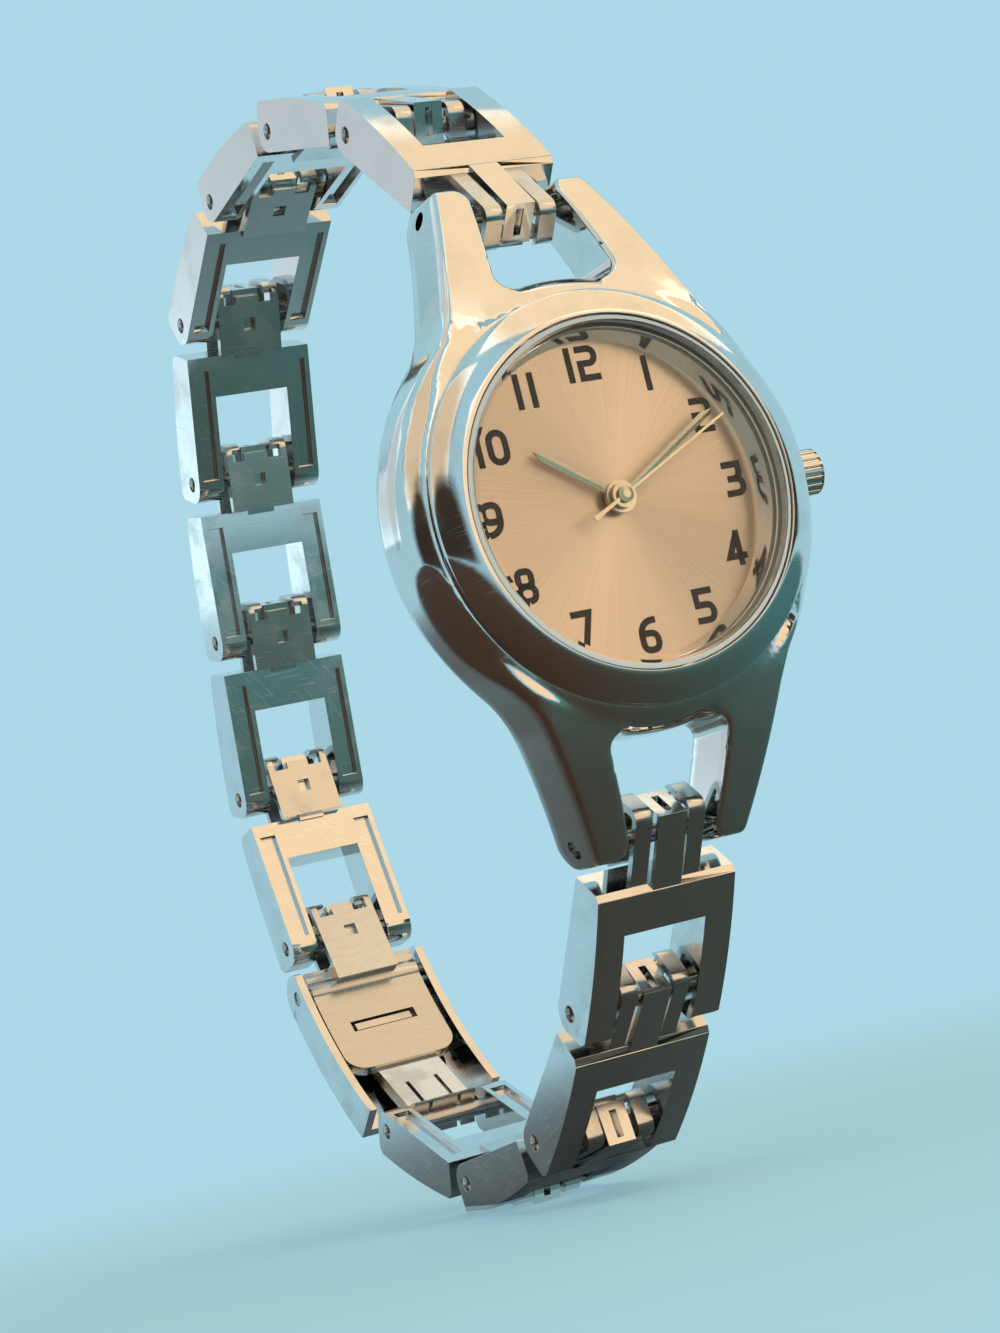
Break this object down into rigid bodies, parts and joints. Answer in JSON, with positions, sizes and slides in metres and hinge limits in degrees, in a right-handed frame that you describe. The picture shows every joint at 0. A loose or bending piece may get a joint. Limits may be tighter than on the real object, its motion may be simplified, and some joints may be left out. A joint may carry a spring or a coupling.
{
  "type": "bracelet watch",
  "caption": "Small round steel watch with an hour-numeral dial under flat glass, on a bracelet of hinged open-window links closed by a curved fold-over clasp.",
  "frame": {"origin": "centre of the wrist opening, on the dial's axis", "axes": "+X to three o'clock and the crown, +Z to twelve o'clock, -Y out of the dial"},
  "size_m": [0.0304, 0.0626, 0.0764],
  "materials": {
    "case_steel": "polished",
    "link_steel": "polished",
    "clip_steel": "stamped sheet, satin",
    "pin_steel": "drawn",
    "clasp_steel": "polished pressed sheet",
    "plate_steel": "satin pressed sheet",
    "back_steel": "brushed",
    "glass": "clear polished",
    "seal": "matte",
    "back_seal": "matte",
    "rehaut_steel": "polished",
    "dial_paint": "sunray",
    "hand_steel": "polished",
    "crown_steel": "polished, fluted",
    "movement_brass": "satin",
    "holder_plastic": "matte",
    "cell_steel": "satin"
  },
  "bodies": {
    "head": {"case_body": "case_steel", "bezel": "case_steel", "crystal_gasket": "seal", "crystal": "glass", "dial_ring": "rehaut_steel", "dial": "dial_paint", "crown_tube": "crown_steel", "case_back": "back_steel", "back_gasket": "back_seal", "movement_holder": "holder_plastic", "movement_plate": "movement_brass", "battery": "cell_steel", "lug_pin_12": "pin_steel", "lug_pin_6": "pin_steel"},
    "upper_1": {"upper_link_1": "link_steel", "upper_clip_1": "clip_steel", "upper_pin_1": "pin_steel"},
    "upper_2": {"upper_link_2": "link_steel", "upper_clip_2": "clip_steel", "upper_pin_2": "pin_steel"},
    "upper_3": {"upper_link_3": "link_steel", "upper_clip_3": "clip_steel", "upper_pin_3": "pin_steel"},
    "upper_4": {"upper_link_4": "link_steel", "upper_clip_4": "clip_steel", "upper_pin_4": "pin_steel"},
    "upper_5": {"upper_link_5": "link_steel", "upper_clip_5": "clip_steel", "upper_pin_5": "pin_steel"},
    "upper_6": {"upper_link_6": "link_steel", "upper_clip_6": "clip_steel", "upper_pin_6": "pin_steel"},
    "upper_7": {"upper_link_7": "link_steel", "upper_clip_7": "clip_steel", "upper_pin_7": "pin_steel"},
    "upper_8": {"upper_link_8": "link_steel", "upper_clip_8": "clip_steel", "upper_pin_8": "pin_steel"},
    "clasp": {"clasp_base": "plate_steel", "clasp_hook": "clip_steel", "clasp_hinge_pin": "pin_steel"},
    "cover": {"clasp_cover": "clasp_steel"},
    "lower_1": {"lower_link_1": "link_steel", "lower_clip_1": "clip_steel", "lower_pin_1": "pin_steel"},
    "lower_2": {"lower_link_2": "link_steel", "lower_clip_2": "clip_steel", "lower_pin_2": "pin_steel"},
    "lower_3": {"lower_link_3": "link_steel", "lower_clip_3": "clip_steel", "lower_pin_3": "pin_steel"},
    "lower_4": {"lower_link_4": "link_steel", "lower_clip_4": "clip_steel", "lower_pin_4": "pin_steel"},
    "setting": {"setting_lever": "movement_brass"},
    "crown": {"crown": "crown_steel", "stem": "pin_steel"},
    "hour": {"hour_hand": "hand_steel"},
    "minute": {"minute_hand": "hand_steel"},
    "second": {"second_hand": "hand_steel"}
  },
  "joints": [
    {"name": "upper_hinge_1", "type": "hinge", "parent": "head", "child": "upper_1", "pos_m": [0, -0.02455, 0.01975], "axis": [1, 0, 0], "range_deg": [0, 50.9]},
    {"name": "upper_hinge_2", "type": "hinge", "parent": "upper_1", "child": "upper_2", "pos_m": [0, -0.01608, 0.02825], "axis": [1, 0, 0], "range_deg": [0, 30.3]},
    {"name": "upper_hinge_3", "type": "hinge", "parent": "upper_2", "child": "upper_3", "pos_m": [0, -0.00486, 0.03251], "axis": [1, 0, 0], "range_deg": [0, 31.3]},
    {"name": "upper_hinge_4", "type": "hinge", "parent": "upper_3", "child": "upper_4", "pos_m": [0, 0.0071, 0.03157], "axis": [1, 0, 0], "range_deg": [0, 31.8]},
    {"name": "upper_hinge_5", "type": "hinge", "parent": "upper_4", "child": "upper_5", "pos_m": [0, 0.01746, 0.02552], "axis": [1, 0, 0], "range_deg": [0, 41.4]},
    {"name": "upper_hinge_6", "type": "hinge", "parent": "upper_5", "child": "upper_6", "pos_m": [0, 0.0224, 0.01458], "axis": [1, 0, 0], "range_deg": [0, 16.7]},
    {"name": "upper_hinge_7", "type": "hinge", "parent": "upper_6", "child": "upper_7", "pos_m": [0, 0.02522, 0.00292], "axis": [1, 0, 0], "range_deg": [0, 6.7]},
    {"name": "upper_hinge_8", "type": "hinge", "parent": "upper_7", "child": "upper_8", "pos_m": [0, 0.0279, -0.00878], "axis": [1, 0, 0], "range_deg": [0, 29.9]},
    {"name": "clasp_hinge", "type": "hinge", "parent": "upper_8", "child": "clasp", "pos_m": [0, 0.02561, -0.02056], "axis": [1, 0, 0], "range_deg": [0, 17.7]},
    {"name": "cover_hinge", "type": "hinge", "parent": "clasp", "child": "cover", "pos_m": [0, 0.0247, -0.02436], "axis": [1, 0, 0], "range_deg": [0, 90]},
    {"name": "lower_hinge_1", "type": "hinge", "parent": "head", "child": "lower_1", "pos_m": [0, -0.02455, -0.01975], "axis": [-1, 0, 0], "range_deg": [0, 43.2]},
    {"name": "lower_hinge_2", "type": "hinge", "parent": "lower_1", "child": "lower_2", "pos_m": [0, -0.0173, -0.02931], "axis": [-1, 0, 0], "range_deg": [0, 19.2]},
    {"name": "lower_hinge_3", "type": "hinge", "parent": "lower_2", "child": "lower_3", "pos_m": [0, -0.00805, -0.03696], "axis": [-1, 0, 0], "range_deg": [0, 35]},
    {"name": "lower_hinge_4", "type": "hinge", "parent": "lower_3", "child": "lower_4", "pos_m": [0, 0.00375, -0.03916], "axis": [-1, 0, 0], "range_deg": [0, 37.1]},
    {"name": "crown_pull", "type": "slide", "parent": "head", "child": "setting", "axis": [1, 0, 0], "range_m": [0, 0.001]},
    {"name": "crown_turn", "type": "hinge", "parent": "setting", "child": "crown", "pos_m": [0, -0.0271, 0], "axis": [1, 0, 0], "continuous": true},
    {"name": "minute_turn", "type": "hinge", "parent": "head", "child": "minute", "pos_m": [0, -0.0295, 0], "axis": [0, 1, 0], "continuous": true},
    {"name": "hour_turn", "type": "hinge", "parent": "head", "child": "hour", "pos_m": [0, -0.0295, 0], "axis": [0, 1, 0], "continuous": true},
    {"name": "second_turn", "type": "hinge", "parent": "head", "child": "second", "pos_m": [0, -0.0295, 0], "axis": [0, 1, 0], "continuous": true}
  ],
  "couplings": [
    {"joint": "hour_turn", "follows": "minute_turn", "ratio": 0.083333}
  ]
}
